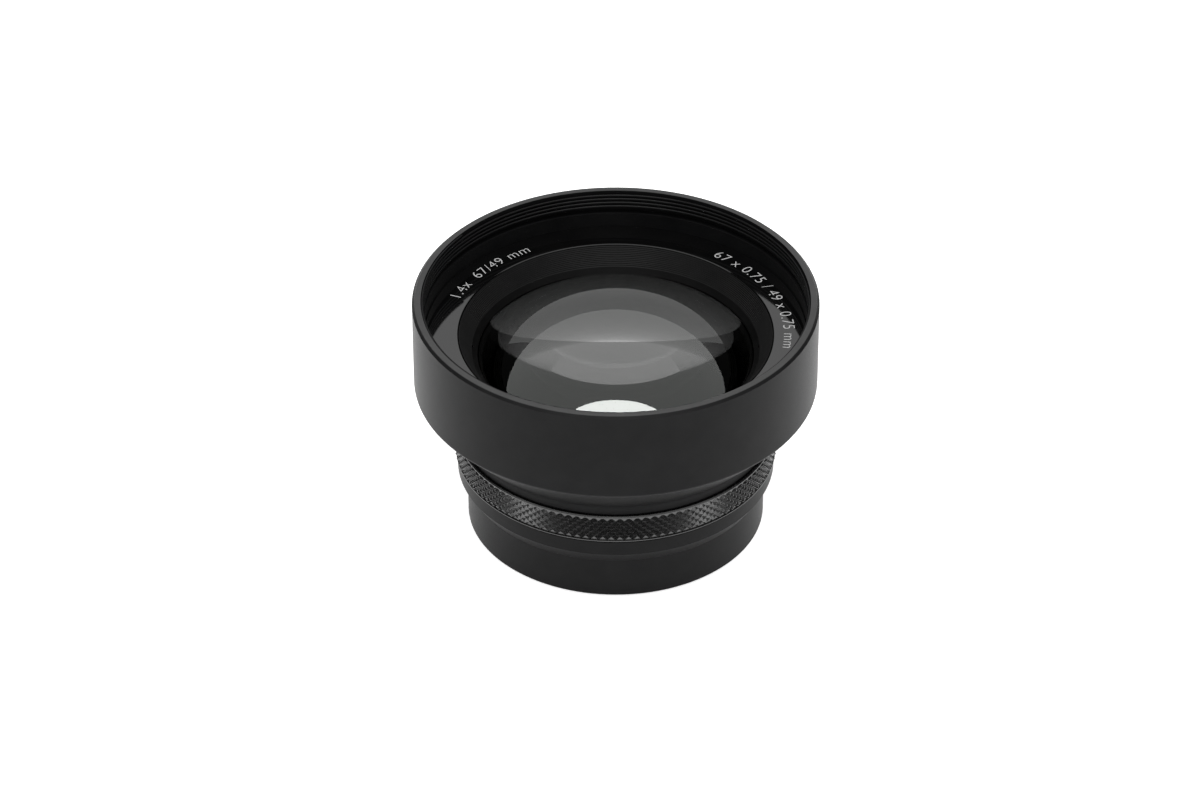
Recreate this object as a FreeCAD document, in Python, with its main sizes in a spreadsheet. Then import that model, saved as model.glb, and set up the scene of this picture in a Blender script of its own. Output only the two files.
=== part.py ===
import FreeCAD, Part
import math
import os

import Sketcher
from FreeCAD import Rotation, Vector

# A 1.4x teleconverter that screws onto the front of a compact camera's lens.
# Origin: centre of the rear face. +Z is the optical axis, towards the subject.
# All sizes are millimetres. Heights are measured up from the rear face.

doc = FreeCAD.newDocument("TeleconverterLens")

# Driving sizes: name, value, what it measures
DRIVING_SIZES = [
    ("overallLength", 44.5, "rear face to front rim"),
    ("filterThreadDiameter", 67.0, "major diameter of the front thread"),
    ("rimWall", 1.5, "front thread to the outside of the drum"),
    ("drumHeight", 16.5, "front rim to the lower edge of the drum's wall"),
    ("rimChamfer", 0.5, "outer chamfer of the front rim"),
    ("drumEdgeRadius", 0.6, "rounding of the drum's lower edge"),
    ("barrelHeight", 25.95, "front rim to the foot of the front barrel"),
    ("neckWall", 1.35, "wall of the neck below the taper"),
    ("neckHeight", 1.6, "neck height before the fillet"),
    ("neckFillet", 3.0, "fillet between taper and neck"),
    ("drumWall", 2.2, "wall of the drum below the web"),
    ("taperWall", 2.6, "wall of the taper, measured along the axis"),
    ("filterThreadDepth", 4.0, "front rim to the end of the front thread"),
    ("threadReliefDepth", 0.45, "depth of the relief behind the front thread"),
    ("threadReliefWidth", 0.6, "width of that relief"),
    ("wellStep", 0.4, "step from the front thread in to the bore below it"),
    ("nameRingDepth", 7.2, "front rim to the face of the name ring"),
    ("nameRingThickness", 0.8, "name ring"),
    ("nameRingOverlap", 0.35, "name ring over the edge of the baffle ring"),
    ("nameRingChamfer", 0.12, "broken edges of the name ring"),
    ("webThickness", 2.4, "web of the front barrel that the inner barrel hangs on"),
    ("flangeMargin", 0.7, "bore above the web to the flange of the inner barrel"),
    ("flangeThickness", 1.6, "that flange"),
    ("flangeWidth", 3.6, "that flange outside its hub"),
    ("hubWall", 1.25, "hub round the baffle ring"),
    ("hubHeight", 3.4, "hub below the flange"),
    ("housingWall", 1.25, "inner barrel round the front lens"),
    ("housingGap", 0.6, "foot of that part above the taper's inner edge"),
    ("tubeWall", 3.75, "inner barrel round the rear cell"),
    ("slidingFit", 0.05, "radial clearance between turned pieces"),
    ("baffleLipGap", 0.15, "name ring to the lip of the baffle ring"),
    ("baffleLipWidth", 0.1, "that lip"),
    ("baffleTaper", 2.1, "wide to narrow end of the ribbed cone, radially"),
    ("baffleHeight", 3.15, "lip to foot of the baffle ring"),
    ("baffleRidgeCount", 12, "ridges on the cone"),
    ("baffleRidgeDepth", 0.14, "depth of a ridge"),
    ("retainerStep", 2.1, "step from the baffle ring in to the front retaining ring"),
    ("retainerThickness", 1.1, "front retaining ring"),
    ("retainerLip", 0.25, "height of its cylindrical inner edge"),
    ("slotWidth", 1.6, "spanner slots of the retaining rings"),
    ("slotDepth", 0.5, "depth of those slots"),
    ("frontLensStep", 0.5, "step from that ring in to the front lens"),
    ("frontLensRim", 1.0, "front lens outside its polished opening"),
    ("frontLensThickness", 9.5, "its thickness on the axis"),
    ("frontLensFrontRadius", 37.0, "convex front surface"),
    ("frontLensRearRadius", 120.0, "concave rear surface"),
    ("doubletGap", 0.3, "air between the front lens and the doublet on the axis"),
    ("spacerWidth", 4.15, "radial width of the spacer in front of the doublet"),
    ("doubletRim", 0.9, "doublet outside its polished opening"),
    ("crownThickness", 8.6, "crown element on the axis"),
    ("flintThickness", 1.8, "flint element on the axis"),
    ("doubletFrontRadius", 34.0, "convex front surface"),
    ("doubletCementRadius", 120.0, "cemented surface, convex to the rear"),
    ("doubletRearRadius", 80.0, "concave rear surface"),
    ("doubletRingThickness", 1.5, "threaded ring on the doublet"),
    ("ringThreadStep", 1.0, "radial step from a lens bore to its ring's thread"),
    ("stopThickness", 0.4, "light stop ring"),
    ("stopMargin", 0.6, "light stop outside the opening of the rear lens"),
    ("rearCellLip", 0.8, "inner lip at the front of the rear cell"),
    ("rearCellFoot", 1.4, "rear cell below its flange"),
    ("rearCellFlangeGap", 0.9, "flange of the rear cell inside the rear thread"),
    ("rearCellFlangeWidth", 1.4, "that flange outside the cell"),
    ("rearCellFlangeThickness", 1.4, "that flange"),
    ("rearCellWall", 3.95, "wall of the rear cell"),
    ("shimThickness", 0.1, "brass shim under the flange of the rear cell"),
    ("rearLensRim", 1.0, "rear lens outside its polished opening"),
    ("rearFrontRadius", 120.0, "concave front surface of the rear lens"),
    ("rearRearRadius", 40.0, "its concave rear surface"),
    ("rearLensThickness", 1.8, "rear lens on the axis"),
    ("rearRingThickness", 1.5, "threaded ring behind the rear lens"),
    ("gripEdgeStep", 0.6, "plain edges of the knurled ring outside the neck"),
    ("knurlRise", 0.25, "peaks of the knurl outside those edges"),
    ("gripTopGap", 0.12, "shadow gap between the neck and the knurled ring"),
    ("gripFootGap", 0.22, "groove between the knurled ring and the rear band"),
    ("gripHubStep", 0.6, "its plain hub inside the neck's outside"),
    ("gripHeight", 5.75, "neck to rear band"),
    ("gripEdgeHeight", 0.35, "plain edge above and below the knurl"),
    ("gripChamfer", 0.2, "outer chamfer of the knurled ring"),
    ("knurlDepth", 0.5, "groove depth of the diamond knurl"),
    ("knurlPitch", 1.5, "one diamond round the ring"),
    ("knurlLead", 1.42, "one diamond along the axis"),
    ("bandStep", 0.3, "rear band outside the neck"),
    ("bandHeight", 2.6, "rear band"),
    ("bandTaperHeight", 2.6, "cone between the band and the skirt"),
    ("skirtWall", 1.5, "rear skirt round the rear thread"),
    ("skirtChamfer", 0.3, "edges of the rear face"),
    ("socketDepth", 2.2, "seat of the inner barrel inside the band"),
    ("mountFlangeThickness", 1.8, "inner flange of the mount ring"),
    ("cameraThreadDiameter", 49.0, "major diameter of the rear thread"),
    ("cameraThreadLength", 4.5, "rear face to the end of the rear thread"),
    ("cameraReliefDepth", 0.3, "depth of the relief behind the rear thread"),
    ("screwCount", 3, "screws through the flange"),
    ("screwDiameter", 1.6, "screw shank"),
    ("screwHeadDiameter", 3.0, "countersunk head"),
    ("screwLength", 3.8, "flat of the head to the tip"),
    ("screwSlotWidth", 0.4, "driver slot"),
    ("screwSlotDepth", 0.35, "driver slot"),
]


class Length:
    # A number together with the formula it comes from, so that a sketch is
    # drawn in the right place and stays tied to the sizes afterwards.
    def __init__(self, value, formula):
        self.value = value
        self.formula = formula

    def __add__(self, other):
        other = as_length(other)
        return Length(self.value + other.value, f"({self.formula} + {other.formula})")

    def __sub__(self, other):
        other = as_length(other)
        return Length(self.value - other.value, f"({self.formula} - {other.formula})")

    def __mul__(self, other):
        other = as_length(other)
        return Length(self.value * other.value, f"{self.formula} * {other.formula}")

    def __truediv__(self, other):
        other = as_length(other)
        return Length(self.value / other.value, f"{self.formula} / ({other.formula})")


def as_length(number):
    if isinstance(number, Length):
        return number
    return Length(number, str(number))


def smaller(first, second):
    return Length(min(first.value, second.value), f"min({first.formula}; {second.formula})")


def sag(radius, height):
    # Depth of a spherical surface at a height off the axis
    value = radius.value - math.sqrt(radius.value**2 - height.value**2)
    root = f"sqrt({radius.formula} * {radius.formula} - {height.formula} * {height.formula})"
    return Length(value, f"({radius.formula} - {root})")


class Sizes:
    # The sheet of driving sizes, each read by its name
    def __init__(self, rows):
        self.sheet = doc.addObject("Spreadsheet::Sheet", "Sizes")
        for number, (name, value, meaning) in enumerate(rows, start=1):
            self.sheet.set(f"A{number}", name)
            self.sheet.set(f"B{number}", str(value))
            self.sheet.set(f"C{number}", meaning)
            self.sheet.setAlias(f"B{number}", name)
            setattr(self, name, Length(float(value), f"Sizes.{name}"))


size = Sizes(DRIVING_SIZES)
levels = doc.addObject("App::VarSet", "Levels")


def level(name, length):
    # A height or radius that several pieces share, worked out once
    levels.addProperty("App::PropertyFloat", name, "Levels")
    levels.setExpression(name, length.formula)
    return Length(length.value, f"Levels.{name}")


# Shared radii of the front, from the rim inwards
filter_thread = level("filterThread", size.filterThreadDiameter / 2)
drum_radius = level("drumRadius", filter_thread + size.rimWall)
well_radius = level("wellRadius", filter_thread - size.wellStep)
flange_radius = level("flangeRadius", well_radius - size.flangeMargin)
hub_radius = level("hubRadius", flange_radius - size.flangeWidth)
screw_circle = level("screwCircle", (flange_radius + hub_radius) / 2)
baffle_bore = level("baffleBore", hub_radius - size.hubWall)
name_ring_hole = level("nameRingHole", baffle_bore - size.nameRingOverlap)
cone_top = level("coneTop", name_ring_hole - size.baffleLipGap - size.baffleLipWidth)
cone_foot = level("coneFoot", cone_top - size.baffleTaper)
retainer_bore = level("retainerBore", baffle_bore - size.retainerStep)
front_lens_bore = level("frontLensBore", retainer_bore - size.frontLensStep)
front_lens_radius = level("frontLensRadius", front_lens_bore - size.slidingFit)
front_clear = level("frontClear", front_lens_radius - size.frontLensRim)
doublet_thread = level("doubletThread", front_lens_radius - size.spacerWidth)
doublet_bore = level("doubletBore", doublet_thread - size.ringThreadStep)
doublet_radius = level("doubletRadius", doublet_bore - size.slidingFit)
doublet_clear = level("doubletClear", doublet_radius - size.doubletRim)
housing_radius = level("housingRadius", front_lens_bore + size.housingWall)

# Shared radii of the rear, from the rear thread inwards and then outwards
camera_thread = level("cameraThread", size.cameraThreadDiameter / 2)
cell_flange = level("cellFlange", camera_thread - size.rearCellFlangeGap)
rear_cell_radius = level("rearCellRadius", cell_flange - size.rearCellFlangeWidth)
rear_cell_bore = level("rearCellBore", rear_cell_radius + size.slidingFit)
rear_lens_bore = level("rearLensBore", rear_cell_radius - size.rearCellWall)
rear_lens_radius = level("rearLensRadius", rear_lens_bore - size.slidingFit)
rear_ring_thread = level("rearRingThread", rear_lens_bore + size.ringThreadStep)
rear_clear = level("rearClear", rear_lens_radius - size.rearLensRim)
tube_radius = level("tubeRadius", rear_cell_bore + size.tubeWall)
tube_bore = level("tubeBore", tube_radius + size.slidingFit)
neck_radius = level("neckRadius", tube_bore + size.neckWall)

# Shared heights of the housing
rim_top = size.overallLength
name_face = level("nameFace", rim_top - size.nameRingDepth)
flange_top = level("flangeTop", name_face - size.nameRingThickness)
web_top = level("webTop", flange_top - size.flangeThickness)
web_foot = level("webFoot", web_top - size.webThickness)
drum_foot = level("drumFoot", rim_top - size.drumHeight)
neck_foot = level("neckFoot", rim_top - size.barrelHeight)
neck_top = level("neckTop", neck_foot + size.neckHeight)
band_top = level("bandTop", neck_foot - size.gripHeight)
band_foot = level("bandFoot", band_top - size.bandHeight)
skirt_top = level("skirtTop", band_foot - size.bandTaperHeight)
taper_slope = level("taperSlope", (drum_foot - neck_top) / (drum_radius - neck_radius))
taper_foot = level("taperFoot", neck_top - (neck_radius - tube_bore) * taper_slope + size.taperWall)
housing_foot = level("housingFoot", taper_foot + size.housingGap)
tube_foot = level("tubeFoot", band_top - size.socketDepth)
mount_face = level("mountFace", tube_foot - size.mountFlangeThickness)

# Shared heights of the front group
baffle_lip = level("baffleLip", name_face - size.nameRingChamfer / 2)
baffle_foot = level("baffleFoot", baffle_lip - size.baffleHeight)
front_seat = level("frontSeat", baffle_foot - size.retainerThickness)
front_vertex = level("frontVertex", front_seat + sag(size.frontLensFrontRadius, front_clear))
front_back = level("frontBack", front_vertex - size.frontLensThickness)
front_rear_seat = level("frontRearSeat", front_back - sag(size.frontLensRearRadius, front_clear))
doublet_vertex = level("doubletVertex", front_back - size.doubletGap)
doublet_seat = level("doubletSeat", doublet_vertex - sag(size.doubletFrontRadius, doublet_clear))
cement_vertex = level("cementVertex", doublet_vertex - size.crownThickness)
cement_edge = level("cementEdge", cement_vertex + sag(size.doubletCementRadius, doublet_radius))
doublet_back = level("doubletBack", cement_vertex - size.flintThickness)
doublet_rear_seat = level("doubletRearSeat", doublet_back - sag(size.doubletRearRadius, doublet_clear))
doublet_ring_top = level("doubletRingTop", doublet_seat + size.doubletRingThickness)

# Shared heights of the rear cell, up from its flange
cell_flange_top = level("cellFlangeTop", mount_face - size.shimThickness)
cell_flange_foot = level("cellFlangeFoot", cell_flange_top - size.rearCellFlangeThickness)
cell_foot = level("cellFoot", cell_flange_foot - size.rearCellFoot)
rear_foot = level("rearFoot", cell_foot + size.rearRingThickness)
rear_back = level("rearBack", rear_foot + sag(size.rearRearRadius, rear_clear))
rear_vertex = level("rearVertex", rear_back + size.rearLensThickness)
rear_seat = level("rearSeat", rear_vertex + sag(size.rearFrontRadius, rear_clear))
cell_top = level("cellTop", rear_seat + size.rearCellLip)
stop_top = level("stopTop", cell_top + size.stopThickness)
doc.recompute()


def new_body(label):
    body = doc.addObject("PartDesign::Body", label)
    body.Label = label
    return body


def origin_plane(body, role):
    return [item for item in body.Origin.OriginFeatures if item.Role == role][0]


def new_sketch(body, name, role, height=None):
    sketch = body.newObject("Sketcher::SketchObject", name)
    sketch.AttachmentSupport = [(origin_plane(body, role), "")]
    sketch.MapMode = "FlatFace"
    if height is not None:
        sketch.AttachmentOffset = FreeCAD.Placement(Vector(0, 0, height.value), Rotation())
        sketch.setExpression("AttachmentOffset.Base.z", height.formula)
    return sketch


def tie(sketch, kind, elements, length, name):
    number = sketch.addConstraint(Sketcher.Constraint(kind, *elements, length.value))
    sketch.renameConstraint(number, name)
    sketch.setExpression(f"Constraints.{name}", length.formula)


def draw_line(sketch, start, end):
    return sketch.addGeometry(Part.LineSegment(start, end), False), 1, 2


def draw_arc(sketch, start, end, centre):
    # Arcs run anticlockwise, so the end that comes first is point 1
    first = start - centre
    last = end - centre
    swapped = first.x * last.y - first.y * last.x < 0
    if swapped:
        first, last = last, first
    angles = [math.atan2(first.y, first.x), math.atan2(last.y, last.x)]
    if angles[1] < angles[0]:
        angles[1] += 2 * math.pi
    circle = Part.Circle(centre, Vector(0, 0, 1), first.Length)
    geometry = sketch.addGeometry(Part.ArcOfCircle(circle, *angles), False)
    return (geometry, 2, 1) if swapped else (geometry, 1, 2)


AXIS = as_length(0)
REAR_FACE = as_length(0)


def draw_profile(sketch, corners, surfaces=None):
    # A closed half section: corners are (radius, height) pairs, and surfaces
    # gives, for a side that is spherical, its radius and whether its centre
    # lies below (-1) or above (+1) it on the axis.
    surfaces = surfaces or {}
    points = [Vector(radius.value, height.value, 0) for radius, height in corners]
    sides = []
    for number, start in enumerate(points):
        end = points[(number + 1) % len(points)]
        if number not in surfaces:
            sides.append(draw_line(sketch, start, end))
            continue
        radius, side = surfaces[number]
        rise = math.sqrt(radius.value**2 - max(start.x, end.x) ** 2)
        edge = start if start.x > end.x else end
        centre = Vector(0, edge.y + side * rise, 0)
        arc = draw_arc(sketch, start, end, centre)
        sketch.addConstraint(Sketcher.Constraint("PointOnObject", arc[0], 3, -2))
        tie(sketch, "Radius", (arc[0],), radius, f"surface{number}")
        sides.append(arc)
    for number, (radius, height) in enumerate(corners):
        geometry, start, _ = sides[number]
        previous, _, end = sides[number - 1]
        sketch.addConstraint(Sketcher.Constraint("Coincident", previous, end, geometry, start))
        on_axis = radius is AXIS
        if on_axis:
            sketch.addConstraint(Sketcher.Constraint("PointOnObject", geometry, start, -2))
        else:
            tie(sketch, "DistanceX", (-1, 1, geometry, start), radius, f"radius{number}")
        follows_surface = on_axis and (number in surfaces or (number - 1) % len(corners) in surfaces)
        if not follows_surface:
            tie(sketch, "DistanceY", (-1, 1, geometry, start), height, f"height{number}")


def revolve(body, name, corners, surfaces=None):
    sketch = new_sketch(body, f"{name}_profile", "XZ_Plane")
    draw_profile(sketch, corners, surfaces)
    turned = body.newObject("PartDesign::Revolution", name)
    turned.Profile = sketch
    turned.ReferenceAxis = (sketch, ["V_Axis"])
    turned.Angle = 360
    doc.recompute()
    return turned


def round_edges(feature, places):
    # The names of the round edges at the given (radius, height) places
    names = []
    for radius, height in places:
        for number, edge in enumerate(feature.Shape.Edges, start=1):
            curve = edge.Curve
            if not isinstance(curve, Part.Circle):
                continue
            if abs(curve.Radius - radius.value) < 1e-4 and abs(curve.Center.z - height.value) < 1e-4:
                names.append(f"Edge{number}")
    return names


def dress(body, kind, name, feature, places, width):
    dressed = body.newObject(f"PartDesign::{kind}", name)
    dressed.Base = (feature, round_edges(feature, places))
    width_name = "Radius" if kind == "Fillet" else "Size"
    setattr(dressed, width_name, width.value)
    dressed.setExpression(width_name, width.formula)
    doc.recompute()
    return dressed


def repeat_round(body, name, feature, count):
    pattern = body.newObject("PartDesign::PolarPattern", name)
    pattern.Originals = [feature]
    pattern.Axis = (origin_plane(body, "Z_Axis"), [""])
    pattern.Angle = 360
    pattern.Occurrences = int(count.value)
    if count.formula != str(count.value):
        pattern.setExpression("Occurrences", count.formula)
    body.Tip = pattern
    doc.recompute()
    return pattern


def cut_slot(body, face, inner, outer, width, depth, upward=False):
    # A straight slot along X, cut into the face at that height
    sketch = new_sketch(body, "slot_outline", "XY_Plane", face)
    inside, outside, side = inner.value, outer.value, width.value / 2
    outline = [Vector(inside, -side, 0), Vector(outside, -side, 0), Vector(outside, side, 0), Vector(inside, side, 0)]
    lines = []
    for number, start in enumerate(outline):
        lines.append(draw_line(sketch, start, outline[(number + 1) % 4])[0])
    for number in range(4):
        sketch.addConstraint(Sketcher.Constraint("Coincident", lines[number - 1], 2, lines[number], 1))
    sketch.addConstraint(Sketcher.Constraint("Horizontal", lines[0]))
    sketch.addConstraint(Sketcher.Constraint("Vertical", lines[1]))
    sketch.addConstraint(Sketcher.Constraint("Horizontal", lines[2]))
    sketch.addConstraint(Sketcher.Constraint("Symmetric", lines[0], 1, lines[2], 2, -1))
    tie(sketch, "DistanceX", (-1, 1, lines[0], 1), inner, "inner")
    tie(sketch, "DistanceX", (-1, 1, lines[1], 1), outer, "outer")
    tie(sketch, "DistanceY", (lines[1], 1, lines[1], 2), width, "width")
    slot = body.newObject("PartDesign::Pocket", "slot")
    slot.Profile = sketch
    slot.Reversed = upward
    slot.Length = depth.value
    slot.setExpression("Length", depth.formula)
    doc.recompute()
    return slot


def cut_spanner_slots(body, face, ring_radius, bore_radius, upward=False):
    # Two slots in the outer half of a retaining ring's face
    inner = bore_radius + (ring_radius - bore_radius) / 2
    outer = ring_radius + size.slotDepth
    slot = cut_slot(body, face, inner, outer, size.slotWidth, size.slotDepth, upward)
    return repeat_round(body, "spanner_slots", slot, as_length(2))


def make_front_barrel():
    body = new_body("front_barrel")
    inside = drum_radius - size.drumWall
    wall_top = neck_top + (inside - neck_radius) * taper_slope + size.taperWall
    thread_foot = rim_top - size.filterThreadDepth
    relief = filter_thread + size.threadReliefDepth
    relief_foot = thread_foot - size.threadReliefWidth
    web_bore = hub_radius + size.slidingFit
    recess = flange_radius + size.slidingFit
    turned = revolve(body, "drum", [
        (filter_thread, rim_top),
        (drum_radius, rim_top),
        (drum_radius, drum_foot),
        (neck_radius, neck_top),
        (neck_radius, neck_foot),
        (tube_bore, neck_foot),
        (tube_bore, taper_foot),
        (inside, wall_top),
        (inside, web_foot),
        (web_bore, web_foot),
        (web_bore, web_top),
        (recess, web_top),
        (recess, flange_top),
        (well_radius, flange_top),
        (well_radius, relief_foot),
        (relief, relief_foot),
        (relief, thread_foot),
        (filter_thread, thread_foot),
    ])
    rim = dress(body, "Chamfer", "rim_chamfer", turned, [(drum_radius, rim_top)], size.rimChamfer)
    edge = dress(body, "Fillet", "drum_edge", rim, [(drum_radius, drum_foot)], size.drumEdgeRadius)
    # The fillet runs out on the neck, so the neck's height limits it
    run_out = Length(math.sqrt(1 + taper_slope.value**2), f"sqrt(1 + {taper_slope.formula}^2)") - taper_slope
    fillet = smaller(size.neckFillet, size.neckHeight / run_out)
    dress(body, "Fillet", "neck_fillet", edge, [(neck_radius, neck_top)], fillet)
    cut_screw_holes(body, web_top, size.webThickness)
    return body


def cut_screw_holes(body, top, depth):
    # The ring of holes for the flange screws, cut down from that height
    radius = size.screwDiameter / 2 + size.slidingFit
    sketch = new_sketch(body, "screw_hole_centre", "XY_Plane", top)
    spot = sketch.addGeometry(Part.Circle(Vector(screw_circle.value, 0, 0), Vector(0, 0, 1), radius.value), False)
    sketch.addConstraint(Sketcher.Constraint("PointOnObject", spot, 3, -1))
    tie(sketch, "DistanceX", (-1, 1, spot, 3), screw_circle, "middle")
    tie(sketch, "Radius", (spot,), radius, "bore")
    hole = body.newObject("PartDesign::Pocket", "screw_hole")
    hole.Profile = sketch
    hole.Length = depth.value
    hole.setExpression("Length", depth.formula)
    doc.recompute()
    return repeat_round(body, "screw_holes", hole, size.screwCount)


def make_name_ring():
    body = new_body("name_ring")
    outside = well_radius - size.slidingFit
    turned = revolve(body, "plate", [
        (name_ring_hole, flange_top),
        (outside, flange_top),
        (outside, name_face),
        (name_ring_hole, name_face),
    ])
    edges = [(name_ring_hole, name_face), (outside, name_face)]
    dress(body, "Chamfer", "broken_edges", turned, edges, size.nameRingChamfer)
    return body


def make_baffle_ring():
    body = new_body("baffle_ring")
    lip = name_ring_hole - size.baffleLipGap
    outside = baffle_bore - size.slidingFit
    count = int(size.baffleRidgeCount.value)
    corners = [
        (cone_foot, baffle_foot),
        (outside, baffle_foot),
        (outside, flange_top),
        (lip, flange_top),
        (lip, baffle_lip),
        (cone_top, baffle_lip),
    ]
    # Crests stand on the cone, with a V groove between each two
    for half_step in range(1, 2 * count):
        share = half_step / (2 * count)
        radius = cone_top - size.baffleTaper * share
        height = baffle_lip - size.baffleHeight * share
        groove = half_step % 2 == 1
        corners.append((radius + size.baffleRidgeDepth if groove else radius, height))
    revolve(body, "ribbed_cone", corners)
    return body


def make_front_retaining_ring():
    body = new_body("front_retaining_ring")
    ring = retainer_bore - size.slidingFit
    revolve(body, "ring", [
        (front_clear, front_seat),
        (ring, front_seat),
        (ring, baffle_foot),
        (cone_foot, baffle_foot),
        (front_clear, front_seat + size.retainerLip),
    ])
    cut_spanner_slots(body, baffle_foot, ring, front_clear)
    return body


def make_front_lens():
    body = new_body("front_lens")
    revolve(body, "glass", [
        (AXIS, front_back),
        (front_clear, front_rear_seat),
        (front_lens_radius, front_rear_seat),
        (front_lens_radius, front_seat),
        (front_clear, front_seat),
        (AXIS, front_vertex),
    ], {0: (size.frontLensRearRadius, -1), 4: (size.frontLensFrontRadius, -1)})
    return body


def make_lens_spacer():
    body = new_body("lens_spacer")
    revolve(body, "ring", [
        (doublet_thread, doublet_ring_top),
        (front_lens_radius, doublet_ring_top),
        (front_lens_radius, front_rear_seat),
        (front_clear, front_rear_seat),
    ])
    return body


def make_doublet_ring():
    body = new_body("doublet_retaining_ring")
    ring = doublet_thread - size.slidingFit
    revolve(body, "ring", [
        (doublet_clear, doublet_seat),
        (ring, doublet_seat),
        (ring, doublet_ring_top),
        (doublet_clear + size.ringThreadStep, doublet_ring_top),
    ])
    cut_spanner_slots(body, doublet_ring_top, ring, doublet_clear)
    return body


def make_doublet_crown():
    body = new_body("doublet_crown")
    revolve(body, "glass", [
        (AXIS, cement_vertex),
        (doublet_radius, cement_edge),
        (doublet_radius, doublet_seat),
        (doublet_clear, doublet_seat),
        (AXIS, doublet_vertex),
    ], {0: (size.doubletCementRadius, 1), 3: (size.doubletFrontRadius, -1)})
    return body


def make_doublet_flint():
    body = new_body("doublet_flint")
    revolve(body, "glass", [
        (AXIS, doublet_back),
        (doublet_clear, doublet_rear_seat),
        (doublet_radius, doublet_rear_seat),
        (doublet_radius, cement_edge),
        (AXIS, cement_vertex),
    ], {0: (size.doubletRearRadius, -1), 3: (size.doubletCementRadius, 1)})
    return body


def make_inner_barrel():
    body = new_body("inner_barrel")
    hub_foot = web_top - size.hubHeight
    revolve(body, "tube", [
        (flange_radius, flange_top),
        (flange_radius, web_top),
        (hub_radius, web_top),
        (hub_radius, hub_foot),
        (housing_radius, hub_foot),
        (housing_radius, housing_foot),
        (tube_radius, housing_foot),
        (tube_radius, tube_foot),
        (rear_cell_bore, tube_foot),
        (rear_cell_bore, stop_top),
        (doublet_clear, stop_top),
        (doublet_clear, doublet_rear_seat),
        (doublet_bore, doublet_rear_seat),
        (doublet_bore, doublet_seat),
        (doublet_thread, doublet_seat),
        (doublet_thread, doublet_ring_top),
        (front_lens_bore, doublet_ring_top),
        (front_lens_bore, front_seat),
        (retainer_bore, front_seat),
        (retainer_bore, baffle_foot),
        (baffle_bore, baffle_foot),
        (baffle_bore, flange_top),
    ])
    holes = cut_screw_holes(body, flange_top, size.flangeThickness)
    hole_radius = size.screwDiameter / 2 + size.slidingFit
    sink = (size.screwHeadDiameter - size.screwDiameter) / 2
    dress(body, "Chamfer", "countersinks", holes, [(hole_radius, flange_top)], sink)
    return body


def make_stop_ring():
    body = new_body("stop_ring")
    opening = rear_clear + size.stopMargin
    revolve(body, "plate", [
        (opening, cell_top),
        (rear_cell_radius, cell_top),
        (rear_cell_radius, stop_top),
        (opening, stop_top),
    ])
    return body


def make_rear_cell():
    body = new_body("rear_cell")
    revolve(body, "tube", [
        (rear_clear, cell_top),
        (rear_cell_radius, cell_top),
        (rear_cell_radius, cell_flange_top),
        (cell_flange, cell_flange_top),
        (cell_flange, cell_flange_foot),
        (rear_cell_radius, cell_flange_foot),
        (rear_cell_radius, cell_foot),
        (rear_ring_thread, cell_foot),
        (rear_ring_thread, rear_foot),
        (rear_lens_bore, rear_foot),
        (rear_lens_bore, rear_seat),
        (rear_clear, rear_seat),
    ])
    return body


def make_cell_shim():
    body = new_body("cell_shim")
    revolve(body, "shim", [
        (rear_cell_bore, cell_flange_top),
        (cell_flange, cell_flange_top),
        (cell_flange, mount_face),
        (rear_cell_bore, mount_face),
    ])
    return body


def make_rear_lens():
    body = new_body("rear_lens")
    revolve(body, "glass", [
        (AXIS, rear_back),
        (rear_clear, rear_foot),
        (rear_lens_radius, rear_foot),
        (rear_lens_radius, rear_seat),
        (rear_clear, rear_seat),
        (AXIS, rear_vertex),
    ], {0: (size.rearRearRadius, -1), 4: (size.rearFrontRadius, 1)})
    return body


def make_rear_retaining_ring():
    body = new_body("rear_retaining_ring")
    ring = rear_ring_thread - size.slidingFit
    revolve(body, "ring", [
        (rear_clear, rear_foot),
        (ring, rear_foot),
        (ring, cell_foot),
        (rear_clear + size.ringThreadStep, cell_foot),
    ])
    cut_spanner_slots(body, cell_foot, ring, rear_clear, upward=True)
    return body


def make_mount_ring():
    body = new_body("mount_ring")
    band = neck_radius + size.bandStep
    skirt = camera_thread + size.skirtWall
    relief = camera_thread + size.cameraReliefDepth
    turned = revolve(body, "band_and_skirt", [
        (tube_bore, band_top),
        (band, band_top),
        (band, band_foot),
        (skirt, skirt_top),
        (skirt, REAR_FACE),
        (camera_thread, REAR_FACE),
        (camera_thread, size.cameraThreadLength),
        (relief, size.cameraThreadLength),
        (relief, mount_face),
        (rear_cell_bore, mount_face),
        (rear_cell_bore, tube_foot),
        (tube_bore, tube_foot),
    ])
    dress(body, "Chamfer", "rear_edges", turned, [(skirt, REAR_FACE), (camera_thread, REAR_FACE)], size.skirtChamfer)
    return body


def make_flange_screw(number):
    # A countersunk screw on its own axis, moved to its place in the flange
    body = new_body(f"flange_screw_{number + 1}")
    shank = size.screwDiameter / 2
    head = size.screwHeadDiameter / 2
    flat = as_length(0)
    revolve(body, "screw", [
        (AXIS, flat - size.screwLength),
        (shank, flat - size.screwLength),
        (shank, shank - head),
        (head, flat),
        (AXIS, flat),
    ])
    cut_slot(body, flat, flat - head, head, size.screwSlotWidth, size.screwSlotDepth)
    angle = 360.0 * number / size.screwCount.value
    turn = Rotation(Vector(0, 0, 1), angle)
    place = turn.multVec(Vector(screw_circle.value, 0, flange_top.value))
    body.Placement = FreeCAD.Placement(place, turn)
    out = f"{screw_circle.formula} * 1 mm"
    body.setExpression("Placement.Base.x", f"{out} * cos({angle} deg)")
    body.setExpression("Placement.Base.y", f"{out} * sin({angle} deg)")
    body.setExpression("Placement.Base.z", f"{flange_top.formula} * 1 mm")
    return body


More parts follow.
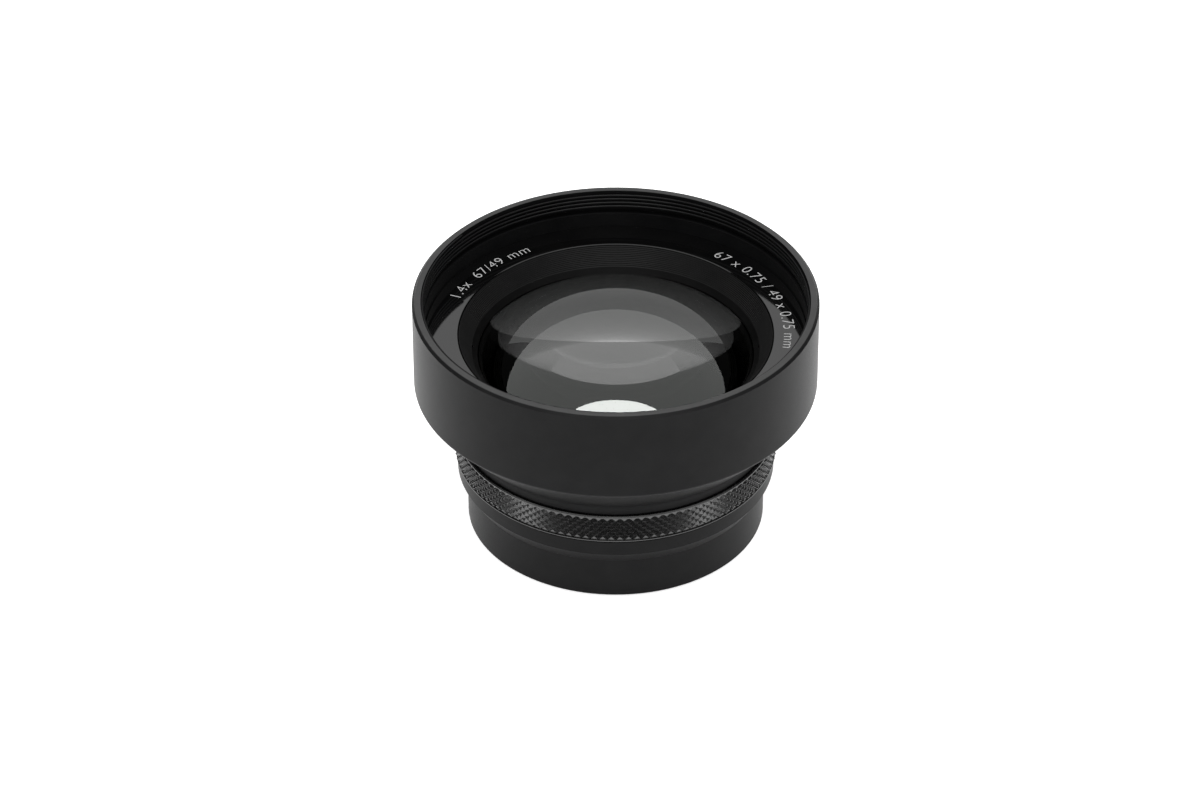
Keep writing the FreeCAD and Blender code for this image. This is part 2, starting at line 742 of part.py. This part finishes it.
def knurl_facets(valley, peak, low, high, columns, rows):
    # Diamonds in staggered rows. Every diamond is a four-sided pyramid whose
    # corners are on the valley radius and whose point is on the peak radius.
    # The first and last rows are cut in half and laid flat.
    step = math.pi / columns
    rise = (high - low) / rows

    def spot(column, row, radius):
        angle = column * step
        return Vector(radius * math.cos(angle), radius * math.sin(angle), low + row * rise)

    facets = []
    for row in range(rows + 1):
        for column in range(row % 2, 2 * columns, 2):
            point = spot(column, row, peak if 0 < row < rows else valley)
            east = spot(column + 1, row, valley)
            west = spot(column - 1, row, valley)
            if row < rows:
                north = spot(column, row + 1, valley)
                facets += [(point, east, north), (point, north, west)]
            if row > 0:
                south = spot(column, row - 1, valley)
                facets += [(point, south, east), (point, west, south)]
    return facets


def knurl_end(valley, edge, height, columns):
    # The flat face between the knurl's end and the plain edge beyond it
    outline = []
    for corner in range(2 * columns + 1):
        angle = (corner % (2 * columns)) * math.pi / columns
        outline.append(Vector(valley * math.cos(angle), valley * math.sin(angle), height))
    rim = Part.makeCircle(edge, Vector(0, 0, height))
    return Part.Face([Part.Wire(rim), Part.makePolygon(outline)], "Part::FaceMakerBullseye")


def make_grip_ring():
    # A turned ring whose outside, between two plain edges, is the diamond knurl
    edge = neck_radius.value + size.gripEdgeStep.value
    peak = edge + size.knurlRise.value
    valley = peak - size.knurlDepth.value
    chamfer = size.gripChamfer.value
    bore = tube_bore.value
    hub = neck_radius.value - size.gripHubStep.value
    shelf_top = neck_foot.value - size.gripTopGap.value
    shelf_foot = band_top.value + size.gripFootGap.value
    high = shelf_top - size.gripEdgeHeight.value
    low = shelf_foot + size.gripEdgeHeight.value
    columns = round(2 * math.pi * peak / size.knurlPitch.value)
    rows = round(2 * (high - low) / size.knurlLead.value)
    section = [
        (edge, high),
        (edge, shelf_top - chamfer),
        (edge - chamfer, shelf_top),
        (hub, shelf_top),
        (hub, neck_foot.value),
        (bore, neck_foot.value),
        (bore, band_top.value),
        (hub, band_top.value),
        (hub, shelf_foot),
        (edge - chamfer, shelf_foot),
        (edge, shelf_foot + chamfer),
        (edge, low),
    ]
    outline = Part.makePolygon([Vector(radius, 0, height) for radius, height in section])
    faces = outline.revolve(Vector(0, 0, 0), Vector(0, 0, 1), 360).Faces
    faces += [knurl_end(valley, edge, high, columns), knurl_end(valley, edge, low, columns)]
    for corners in knurl_facets(valley, peak, low, high, columns, rows):
        faces.append(Part.Face(Part.makePolygon([*corners, corners[0]])))
    shell = Part.makeShell(faces)
    shell.sewShape()
    solid = Part.makeSolid(shell)
    if solid.Volume < 0:
        solid.reverse()
    ring = doc.addObject("Part::Feature", "grip_ring")
    ring.Label = "grip_ring"
    ring.Shape = solid
    ring.Placement = FreeCAD.Placement()
    return ring


def check(pieces):
    # Stops before anything is written if a feature failed or a solid is bad
    failed = [item.Name for item in doc.Objects if {"Invalid", "Error"} & set(item.State)]
    if failed:
        raise RuntimeError(f"these features failed: {failed}")
    for piece in pieces:
        shape = piece.Shape
        if shape.isNull() or not shape.isValid() or len(shape.Solids) != 1 or shape.Volume <= 0:
            raise RuntimeError(f"{piece.Label} is not one valid solid")


pieces = [
    make_front_barrel(),
    make_name_ring(),
    make_baffle_ring(),
    make_front_retaining_ring(),
    make_front_lens(),
    make_lens_spacer(),
    make_doublet_ring(),
    make_doublet_crown(),
    make_doublet_flint(),
    make_inner_barrel(),
    make_stop_ring(),
    make_rear_cell(),
    make_cell_shim(),
    make_rear_lens(),
    make_rear_retaining_ring(),
    make_mount_ring(),
    make_grip_ring(),
]
pieces += [make_flange_screw(number) for number in range(int(size.screwCount.value))]
doc.recompute()
check(pieces)

os.makedirs("parts", exist_ok=True)
for piece in pieces:
    piece.Shape.exportStep(f"parts/{piece.Label}.step")
    box = piece.Shape.BoundBox
    print(f"{piece.Label}: {piece.Shape.Volume:.1f} mm3, z {box.ZMin:.2f} to {box.ZMax:.2f}")
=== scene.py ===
import math

import bpy
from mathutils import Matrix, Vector


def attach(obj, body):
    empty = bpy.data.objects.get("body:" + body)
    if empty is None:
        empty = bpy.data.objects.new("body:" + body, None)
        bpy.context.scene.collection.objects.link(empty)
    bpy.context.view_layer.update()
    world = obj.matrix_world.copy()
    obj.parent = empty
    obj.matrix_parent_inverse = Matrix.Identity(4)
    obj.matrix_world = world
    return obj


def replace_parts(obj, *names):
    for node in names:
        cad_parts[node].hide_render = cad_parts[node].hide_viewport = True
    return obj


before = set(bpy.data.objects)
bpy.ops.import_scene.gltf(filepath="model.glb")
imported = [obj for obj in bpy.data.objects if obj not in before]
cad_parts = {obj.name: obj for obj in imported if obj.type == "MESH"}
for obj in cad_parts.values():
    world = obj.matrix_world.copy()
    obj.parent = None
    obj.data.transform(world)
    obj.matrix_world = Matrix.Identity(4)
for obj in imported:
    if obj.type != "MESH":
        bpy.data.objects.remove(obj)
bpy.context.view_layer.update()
scene = bpy.context.scene
scene.view_settings.view_transform = "Standard"
mm = 0.001

print("camera")
cameraView = {
    "place": (0.0, -0.7074, 0.5322),
    "target": (0.0, 0.0, 0.0265),
    "lens": 150.24,
    "sensor": 36.0,
    "shiftX": -0.0131,
    "shiftY": -0.0140,
    "nearest": 0.01,
}


def makeCamera(values):
    data = bpy.data.cameras.new("studioCamera")
    data.lens = values["lens"]
    data.sensor_width = values["sensor"]
    data.shift_x = values["shiftX"]
    data.shift_y = values["shiftY"]
    data.clip_start = values["nearest"]
    camera = bpy.data.objects.new("studioCamera", data)
    camera.location = values["place"]
    look = Vector(values["target"]) - Vector(values["place"])
    camera.rotation_euler = look.to_track_quat("-Z", "Y").to_euler()
    scene.collection.objects.link(camera)
    scene.camera = camera


makeCamera(cameraView)


# helpers for materials

noiseLow, noiseHigh = 0.3, 0.7      # noise seldom leaves this range


def newMaterial(name):
    material = bpy.data.materials.new(name)
    material.use_nodes = True
    return material, material.node_tree, material.node_tree.nodes["Principled BSDF"]


def addNode(tree, kind, inputs=None, **settings):
    node = tree.nodes.new(kind)
    for key, value in settings.items():
        setattr(node, key, value)
    for key, value in (inputs or {}).items():
        node.inputs[key].default_value = value
    return node


def addNoise(tree, size, detail=2.0):
    # size is that of one grain, in metres
    place = addNode(tree, "ShaderNodeTexCoord")
    noise = addNode(tree, "ShaderNodeTexNoise", {"Scale": 1.0 / size, "Detail": detail, "Roughness": 0.5})
    tree.links.new(place.outputs["Object"], noise.inputs["Vector"])
    return noise.outputs["Fac"]


def spread(tree, value, low, high):
    # turns noise into a value between low and high
    scale = addNode(tree, "ShaderNodeMapRange", {
        "From Min": noiseLow, "From Max": noiseHigh, "To Min": low, "To Max": high,
    })
    tree.links.new(value, scale.inputs["Value"])
    return scale.outputs["Result"]


def tones(tree, value, dark, light):
    # turns noise into a colour between dark and light
    ramp = addNode(tree, "ShaderNodeValToRGB")
    ramp.color_ramp.elements[0].position = noiseLow
    ramp.color_ramp.elements[0].color = (*dark, 1.0)
    ramp.color_ramp.elements[1].position = noiseHigh
    ramp.color_ramp.elements[1].color = (*light, 1.0)
    tree.links.new(value, ramp.inputs["Fac"])
    return ramp.outputs["Color"]


def paintedSheenTop(tree, dyeAndPaintedSheen, cloud, values):
    # painted highlight: the flat top of the rim is painted paler than the blasted walls below it, in place of
    # the light it mirrors from above
    place = addNode(tree, "ShaderNodeTexCoord")
    parts = addNode(tree, "ShaderNodeSeparateXYZ")
    height = addNode(tree, "ShaderNodeMapRange", {
        "From Min": values["paintedSheenAbove"], "From Max": values["paintedSheenAbove"] + values["paintedSheenBlend"],
    })
    blend = addNode(tree, "ShaderNodeMix", data_type="RGBA")
    tree.links.new(place.outputs["Object"], parts.inputs[0])
    tree.links.new(parts.outputs["Z"], height.inputs["Value"])
    tree.links.new(height.outputs["Result"], blend.inputs[0])
    tree.links.new(dyeAndPaintedSheen, blend.inputs[6])
    tree.links.new(tones(tree, cloud, values["paintedSheenDark"], values["paintedSheenLight"]), blend.inputs[7])
    return blend.outputs[2]


cloudDetail = 3.0
bumpDepth = 0.3         # depth of the grain's bump, as a share of one grain


def makeBlackMetal(name, values):
    # slightly uneven black dye over a grain as fine as the blasting beads left it
    material, tree, shader = newMaterial(name)
    cloud = addNoise(tree, values["cloud"], cloudDetail)
    grain = addNoise(tree, values["grain"])
    dyeAndPaintedSheen = tones(tree, cloud, values["dark"], values["light"])
    # painted highlight: where asked, the top of the piece gets a paler colour in place of the light it
    # mirrors
    if "paintedSheenAbove" in values:
        dyeAndPaintedSheen = paintedSheenTop(tree, dyeAndPaintedSheen, cloud, values)
    tree.links.new(dyeAndPaintedSheen, shader.inputs["Base Color"])
    tree.links.new(spread(tree, grain, values["smooth"], values["rough"]), shader.inputs["Roughness"])
    bump = addNode(tree, "ShaderNodeBump", {
        "Strength": values["bump"], "Distance": values["grain"] * bumpDepth,
    })
    tree.links.new(grain, bump.inputs["Height"])
    tree.links.new(bump.outputs["Normal"], shader.inputs["Normal"])
    shader.inputs["IOR"].default_value = values["ior"]
    shader.inputs["Specular IOR Level"].default_value = values["specular"]
    return material


print("finishes")
blastedFinish = {
    "dark": (0.0045, 0.0045, 0.0047), "light": (0.0065, 0.0065, 0.0067), "cloud": 0.004, "grain": 0.00012,
    "smooth": 0.36, "rough": 0.46, "bump": 0.25, "ior": 1.5, "specular": 0.09,
}
# the barrel, with a painted highlight on the flat top of its rim
barrelFinish = dict(blastedFinish, **{
    "paintedSheenAbove": 0.0444, "paintedSheenBlend": 0.00004,
    "paintedSheenDark": (0.040, 0.040, 0.040), "paintedSheenLight": (0.046, 0.046, 0.046),
})
knurlFinish = {
    "dark": (0.004, 0.004, 0.004), "light": (0.007, 0.007, 0.007), "cloud": 0.004, "grain": 0.00012,
    "smooth": 0.22, "rough": 0.30, "bump": 0.05, "ior": 1.5, "specular": 0.9,
}
glossFinish = {
    "dark": (0.0015, 0.0015, 0.0016), "light": (0.0022, 0.0022, 0.0022), "cloud": 0.006, "grain": 0.0002,
    "smooth": 0.05, "rough": 0.075, "bump": 0.01, "ior": 1.5, "specular": 0.5,
}
coneFinish = {
    "dark": (0.0020, 0.0020, 0.0020), "light": (0.0035, 0.0035, 0.0035), "cloud": 0.003, "grain": 0.0001,
    "smooth": 0.40, "rough": 0.50, "bump": 0.1, "ior": 1.5, "specular": 0.08,
}
insideFinish = {
    "dark": (0.0010, 0.0010, 0.0010), "light": (0.0020, 0.0020, 0.0020), "cloud": 0.003, "grain": 0.0002,
    "smooth": 0.50, "rough": 0.60, "bump": 0.02, "ior": 1.5, "specular": 0.04,
}
steelFinish = {
    "dark": (0.02, 0.02, 0.022), "light": (0.03, 0.03, 0.032), "cloud": 0.001, "grain": 0.0001,
    "smooth": 0.28, "rough": 0.36, "bump": 0.05, "ior": 1.5, "specular": 0.8,
}
paintFinish = dict(insideFinish, smooth=0.6, rough=0.75)

blastedBlack = makeBlackMetal("blastedBlack", blastedFinish)
barrelBlack = makeBlackMetal("barrelBlack", barrelFinish)
knurlBlack = makeBlackMetal("knurlBlack", knurlFinish)
glossBlack = makeBlackMetal("glossBlack", glossFinish)
coneBlack = makeBlackMetal("coneBlack", coneFinish)
insideBlack = makeBlackMetal("insideBlack", insideFinish)
blackSteel = makeBlackMetal("blackSteel", steelFinish)
lensEdgePaint = makeBlackMetal("lensEdgePaint", paintFinish)


def makeGrained(name, values):
    # one fine grain in tone and sheen, for the shim's rolled brass and the paint of the numbers
    material, tree, shader = newMaterial(name)
    grain = addNoise(tree, values["grain"])
    tree.links.new(tones(tree, grain, values["dark"], values["light"]), shader.inputs["Base Color"])
    tree.links.new(spread(tree, grain, values["smooth"], values["rough"]), shader.inputs["Roughness"])
    shader.inputs["Metallic"].default_value = values["metal"]
    return material


brassFinish = {
    "dark": (0.50, 0.36, 0.14), "light": (0.62, 0.46, 0.20), "grain": 0.0003,
    "smooth": 0.25, "rough": 0.35, "metal": 1.0,
}
shimBrass = makeGrained("shimBrass", brassFinish)


def makeGlass(name, values):
    # polished glass: coat colours what a face mirrors, tint what it lets through, and a faint smear marks it
    material, tree, shader = newMaterial(name)
    shader.inputs["Base Color"].default_value = (*values["tint"], 1.0)
    shader.inputs["Transmission Weight"].default_value = 1.0
    shader.inputs["IOR"].default_value = values["ior"]
    shader.inputs["Specular Tint"].default_value = (*values["coat"], 1.0)
    smear = addNoise(tree, values["smearSize"])
    tree.links.new(spread(tree, smear, 0.0, values["smear"]), shader.inputs["Roughness"])
    return material


frontFaceFinish = {
    "tint": (0.26, 0.26, 0.26), "coat": (0.92, 0.95, 0.92), "ior": 1.6, "smear": 0.003, "smearSize": 0.012,
}
# painted shade: this face passes no light and only mirrors, a black stand-in for the dark depth of the barrel
# behind it, which so shows no noise
frontBackFinish = dict(frontFaceFinish, tint=(0.0, 0.0, 0.0), coat=(0.97, 1.0, 0.97), ior=1.675)
innerFaceFinish = dict(frontFaceFinish, tint=(0.93, 0.93, 0.93), coat=(0.50, 0.52, 0.50))
frontFaceGlass = makeGlass("frontFaceGlass", frontFaceFinish)
frontBackGlass = makeGlass("frontBackGlass", frontBackFinish)
innerFaceGlass = makeGlass("innerFaceGlass", innerFaceFinish)

dressedNodes = {
    "front_barrel": barrelBlack,
    "mount_ring": blastedBlack,
    "grip_ring": knurlBlack,
    "name_ring": glossBlack,
    "baffle_ring": coneBlack,
    "front_retaining_ring": insideBlack,
    "lens_spacer": insideBlack,
    "doublet_retaining_ring": insideBlack,
    "inner_barrel": insideBlack,
    "stop_ring": insideBlack,
    "rear_cell": insideBlack,
    "rear_retaining_ring": insideBlack,
    "cell_shim": shimBrass,
    "flange_screw_1": blackSteel,
    "flange_screw_2": blackSteel,
    "flange_screw_3": blackSteel,
}
for node, material in dressedNodes.items():
    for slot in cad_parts[node].material_slots:
        slot.material = material


# lens elements, turned from their exact surfaces

def ballLine(radius, side, vertex, reach, steps):
    # points of a spherical surface from the axis outwards: side +1 curves down at the edge, -1 up
    points = []
    for step in range(steps + 1):
        out = reach * step / steps
        points.append((out, vertex - side * (radius - math.sqrt(radius * radius - out * out))))
    return points


def turnPoint(out, height, angle):
    return out * mm * math.cos(angle), out * mm * math.sin(angle), height * mm


def turnGlass(name, values, frontGlass, backGlass):
    steps, turns, clear = values["steps"], values["turns"], values["clear"]
    front = ballLine(values["frontRadius"], values["frontSide"], values["frontVertex"], clear, steps)
    rear = ballLine(values["rearRadius"], values["rearSide"], values["rearVertex"], clear, steps)
    edge = [(values["edge"], front[-1][1]), (values["edge"], rear[-1][1])]
    verts, faces, kinds, rings = [], [], [], []
    for out, height in front + edge + rear[::-1]:
        count = 1 if out == 0.0 else turns
        rings.append(list(range(len(verts), len(verts) + count)))
        verts += [turnPoint(out, height, 2.0 * math.pi * turn / turns) for turn in range(count)]
    for number in range(len(rings) - 1):
        upper, lower = rings[number], rings[number + 1]
        kind = 0 if number < steps else 1 if number > steps + 2 else 2      # front, rear, blackened edge
        for turn in range(turns):
            after = (turn + 1) % turns
            if len(upper) == 1:
                faces.append((upper[0], lower[turn], lower[after]))
            elif len(lower) == 1:
                faces.append((upper[turn], lower[0], upper[after]))
            else:
                faces.append((upper[turn], lower[turn], lower[after], upper[after]))
            kinds.append(kind)
    mesh = bpy.data.meshes.new(name)
    mesh.from_pydata(verts, [], faces)
    for material in (frontGlass, backGlass, lensEdgePaint):
        mesh.materials.append(material)
    for face, kind in zip(mesh.polygons, kinds):
        face.material_index = kind
        face.use_smooth = True
    mesh.set_sharp_from_angle(angle=math.radians(sharpAngle))
    piece = bpy.data.objects.new(name, mesh)
    scene.collection.objects.link(piece)
    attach(piece, "root")
    return piece


print("lenses")
sharpAngle = 25.0   # degrees, above which an edge stays sharp
seatGap = 0.01      # mm that each polished face lies inside the solid's, clear of its seat
frontElement = {
    "frontRadius": 37.0, "frontSide": 1, "frontVertex": 41.745 - seatGap,
    "rearRadius": 120.0, "rearSide": 1, "rearVertex": 32.245 + seatGap,
    "clear": 23.9, "edge": 24.9, "steps": 96, "turns": 384,
}
doubletElement = {
    "frontRadius": 34.0, "frontSide": 1, "frontVertex": 31.945 - seatGap,
    "rearRadius": 80.0, "rearSide": 1, "rearVertex": 21.545 + seatGap,
    "clear": 18.8, "edge": 19.7, "steps": 48, "turns": 192,
}
rearElement = {
    "frontRadius": 120.0, "frontSide": -1, "frontVertex": 13.087 - seatGap,
    "rearRadius": 40.0, "rearSide": 1, "rearVertex": 11.287 + seatGap,
    "clear": 17.2, "edge": 18.2, "steps": 48, "turns": 192,
}
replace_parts(turnGlass("frontElement", frontElement, frontFaceGlass, frontBackGlass), "front_lens")
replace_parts(turnGlass("doubletElement", doubletElement, innerFaceGlass, innerFaceGlass),
            "doublet_crown", "doublet_flint")
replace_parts(turnGlass("rearElement", rearElement, innerFaceGlass, innerFaceGlass), "rear_lens")


# threads, made with Geometry Nodes

def newTree(name, inputs):
    tree = bpy.data.node_groups.new(name, "GeometryNodeTree")
    tree.interface.new_socket("Geometry", in_out="OUTPUT", socket_type="NodeSocketGeometry")
    for label, kind in inputs:
        tree.interface.new_socket(label, in_out="INPUT", socket_type=kind)
    start = tree.nodes.new("NodeGroupInput")
    end = tree.nodes.new("NodeGroupOutput")
    return tree, start, end


def growPiece(name, tree, values):
    # runs a tree on an empty mesh and keeps the plain mesh that it makes
    carrier = bpy.data.objects.new(name + "Carrier", bpy.data.meshes.new(name + "Carrier"))
    scene.collection.objects.link(carrier)
    modifier = carrier.modifiers.new(name, "NODES")
    modifier.node_group = tree
    for socket in tree.interface.items_tree:
        if socket.in_out == "INPUT":
            modifier[socket.identifier] = values[socket.name]
    graph = bpy.context.evaluated_depsgraph_get()
    mesh = bpy.data.meshes.new_from_object(carrier.evaluated_get(graph))
    mesh.name = name
    carrier.modifiers.remove(modifier)
    bpy.data.objects.remove(carrier)
    piece = bpy.data.objects.new(name, mesh)
    scene.collection.objects.link(piece)
    return piece


def makeThreadTree():
    # a trapezoid swept along a helix
    sizes = ("Root Radius", "Ridge Height", "Pitch", "Turns", "Low End", "Ridge Foot", "Ridge Crest")
    inputs = [(label, "NodeSocketFloat") for label in sizes]
    inputs += [("Steps Per Turn", "NodeSocketInt"), ("Finish", "NodeSocketMaterial")]
    tree, start, end = newTree("threadRidge", inputs)
    get = start.outputs
    helix = tree.nodes.new("GeometryNodeCurveSpiral")
    tree.links.new(get["Steps Per Turn"], helix.inputs["Resolution"])
    tree.links.new(get["Turns"], helix.inputs["Rotations"])
    tree.links.new(get["Root Radius"], helix.inputs["Start Radius"])
    tree.links.new(get["Root Radius"], helix.inputs["End Radius"])
    rise = addNode(tree, "ShaderNodeMath", operation="MULTIPLY")
    tree.links.new(get["Pitch"], rise.inputs[0])
    tree.links.new(get["Turns"], rise.inputs[1])
    tree.links.new(rise.outputs[0], helix.inputs["Height"])
    upright = addNode(tree, "GeometryNodeSetCurveNormal", mode="Z_UP")
    tree.links.new(helix.outputs[0], upright.inputs[0])
    ridge = addNode(tree, "GeometryNodeCurvePrimitiveQuadrilateral", mode="TRAPEZOID")
    tree.links.new(get["Ridge Foot"], ridge.inputs["Bottom Width"])
    tree.links.new(get["Ridge Crest"], ridge.inputs["Top Width"])
    tree.links.new(get["Ridge Height"], ridge.inputs["Height"])
    ridge.inputs["Offset"].default_value = 0.0
    turn = addNode(tree, "GeometryNodeTransform", {"Rotation": (0.0, 0.0, math.radians(90))})
    tree.links.new(ridge.outputs[0], turn.inputs[0])
    sweep = addNode(tree, "GeometryNodeCurveToMesh", {"Fill Caps": True})
    tree.links.new(upright.outputs[0], sweep.inputs["Curve"])
    tree.links.new(turn.outputs[0], sweep.inputs["Profile Curve"])
    lift = tree.nodes.new("GeometryNodeTransform")
    place = tree.nodes.new("ShaderNodeCombineXYZ")
    tree.links.new(get["Low End"], place.inputs["Z"])
    tree.links.new(place.outputs[0], lift.inputs["Translation"])
    tree.links.new(sweep.outputs[0], lift.inputs[0])
    realize = tree.nodes.new("GeometryNodeRealizeInstances")
    tree.links.new(lift.outputs[0], realize.inputs[0])
    paint = tree.nodes.new("GeometryNodeSetMaterial")
    tree.links.new(realize.outputs[0], paint.inputs[0])
    tree.links.new(get["Finish"], paint.inputs["Material"])
    tree.links.new(paint.outputs[0], end.inputs[0])
    return tree


print("threads")
threadTree = makeThreadTree()
frontThread = {
    "Root Radius": 33.32 * mm, "Ridge Height": 0.42 * mm, "Ridge Foot": 0.60 * mm, "Ridge Crest": 0.10 * mm,
    "Pitch": 0.75 * mm, "Turns": 4.6, "Low End": 40.75 * mm, "Steps Per Turn": 160, "Finish": blastedBlack,
}
rearThread = dict(frontThread, **{
    "Root Radius": 24.32 * mm, "Turns": 4.8, "Low End": 0.5 * mm, "Steps Per Turn": 128,
})
for name, values in (("frontThread", frontThread), ("rearThread", rearThread)):
    piece = growPiece(name, threadTree, values)
    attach(piece, "root")


print("numbers")
markings = {
    "left": "1.4x  67/49 mm", "leftStart": 160.0,
    "right": "67 x 0.75 / 49 x 0.75 mm", "rightStart": 54.0,
    "height": 2.15, "foot": 28.95, "face": 37.3, "lift": 0.012,
    "capShare": 0.72,       # height of a digit in a font of size 1
    "spacing": 1.08, "thinner": 0.012,
}
markFinish = {
    "dark": (0.30, 0.30, 0.30), "light": (0.36, 0.36, 0.36), "grain": 0.0003,
    "smooth": 0.55, "rough": 0.65, "metal": 0.0,
}
markPaint = makeGrained("markPaint", markFinish)


def printNumbers(name, text, start, values):
    # the line of type becomes a mesh, and is then bent round the name ring, read clockwise
    font = bpy.data.curves.new(name, "FONT")
    font.body = text
    font.size = values["height"] / values["capShare"]
    font.space_character = values["spacing"]
    font.offset = -values["thinner"] * font.size
    line = bpy.data.objects.new(name + "Line", font)
    scene.collection.objects.link(line)
    graph = bpy.context.evaluated_depsgraph_get()
    mesh = bpy.data.meshes.new_from_object(line.evaluated_get(graph))
    bpy.data.objects.remove(line)
    middle = values["foot"] + values["height"] / 2
    for vertex in mesh.vertices:
        angle = math.radians(start) - vertex.co.x / middle
        vertex.co = turnPoint(values["foot"] + vertex.co.y, values["face"] + values["lift"], angle)
    mesh.materials.clear()
    mesh.materials.append(markPaint)
    piece = bpy.data.objects.new(name, mesh)
    scene.collection.objects.link(piece)
    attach(piece, "root")


printNumbers("leftNumbers", markings["left"], markings["leftStart"], markings)
printNumbers("rightNumbers", markings["right"], markings["rightStart"], markings)

print("floor and light")
floorValues = {"tone": 0.75, "glow": 0.7, "size": 24.0, "height": -0.0001}      # just under the rear face
# the back paper is part of an upright cylinder round the object, and is mirrored in the glass
paperValues = {"tone": 0.10, "glow": 0.42, "turn": 38.0, "height": 0.97, "place": 1.42, "steps": 32}
paperFinish = {"cloud": 0.4, "uneven": 0.01, "rough": 0.9, "specular": 0.1}
airLight = 0.03
lamps = {
    # round and soft, mirrored as the bright area of the glass
    "overheadLamp": {"light": 1.3, "across": 2.7, "deep": 2.7, "place": (0.0, 0.15, 1.0), "tilt": 0.0},
    # small and bright, mirrored as the white spot at the near rim of the glass
    "spotLamp": {"light": 15.0, "across": 0.84, "deep": 0.22, "place": (0.0, -0.250, 0.98), "tilt": 0.0},
    # behind the camera, for the flanks of the knurl
    "frontLamp": {"light": 5.0, "across": 0.5, "deep": 0.5, "place": (0.0, -1.1, 0.75), "tilt": 55.7},
}


def makePaper(name, values, finish):
    material, tree, shader = newMaterial(name)
    cloud = addNoise(tree, finish["cloud"])
    dark, light = values["tone"], values["tone"] + finish["uneven"]
    tree.links.new(tones(tree, cloud, (dark, dark, dark), (light, light, light)), shader.inputs["Base Color"])
    shader.inputs["Roughness"].default_value = finish["rough"]
    shader.inputs["Specular IOR Level"].default_value = finish["specular"]
    shader.inputs["Emission Color"].default_value = (1.0, 1.0, 1.0, 1.0)
    shader.inputs["Emission Strength"].default_value = values["glow"]
    return material


def makeSheet(name, corners, material):
    # a strip through pairs of corners
    mesh = bpy.data.meshes.new(name)
    faces = [(first, first + 1, first + 3, first + 2) for first in range(0, len(corners) - 3, 2)]
    mesh.from_pydata(corners, [], faces)
    mesh.materials.append(material)
    sheet = bpy.data.objects.new(name, mesh)
    scene.collection.objects.link(sheet)


def makeFloor(values):
    half, low = values["size"] / 2, values["height"]
    corners = [(-half, -half, low), (half, -half, low), (-half, half, low), (half, half, low)]
    makeSheet("studioFloor", corners, makePaper("floorPaper", values, paperFinish))


def makeBackPaper(values):
    strip = []
    for step in range(values["steps"] + 1):
        turn = math.radians(values["turn"] * (2 * step / values["steps"] - 1))
        x, y = values["place"] * math.sin(turn), values["place"] * math.cos(turn)
        strip += [(x, y, values["height"]), (x, y, 0)]
    makeSheet("backPaper", strip, makePaper("backPaper", values, paperFinish))


def makeAir(light):
    world = bpy.data.worlds.new("studioAir")
    world.use_nodes = True
    background = world.node_tree.nodes["Background"]
    background.inputs["Color"].default_value = (1.0, 1.0, 1.0, 1.0)
    background.inputs["Strength"].default_value = light
    scene.world = world


def makeLamp(name, values):
    # an oval that shines down its own axis, with light as its radiance
    lamp = bpy.data.lights.new(name, "AREA")
    lamp.shape = "ELLIPSE"
    lamp.size, lamp.size_y = values["across"], values["deep"]
    lamp.energy = values["light"] * math.pi ** 2 * values["across"] * values["deep"] / 4
    lampObject = bpy.data.objects.new(name, lamp)
    lampObject.location = values["place"]
    lampObject.rotation_euler = (math.radians(values["tilt"]), 0.0, 0.0)
    scene.collection.objects.link(lampObject)


makeFloor(floorValues)
makeBackPaper(paperValues)
makeAir(airLight)
for name, values in lamps.items():
    makeLamp(name, values)
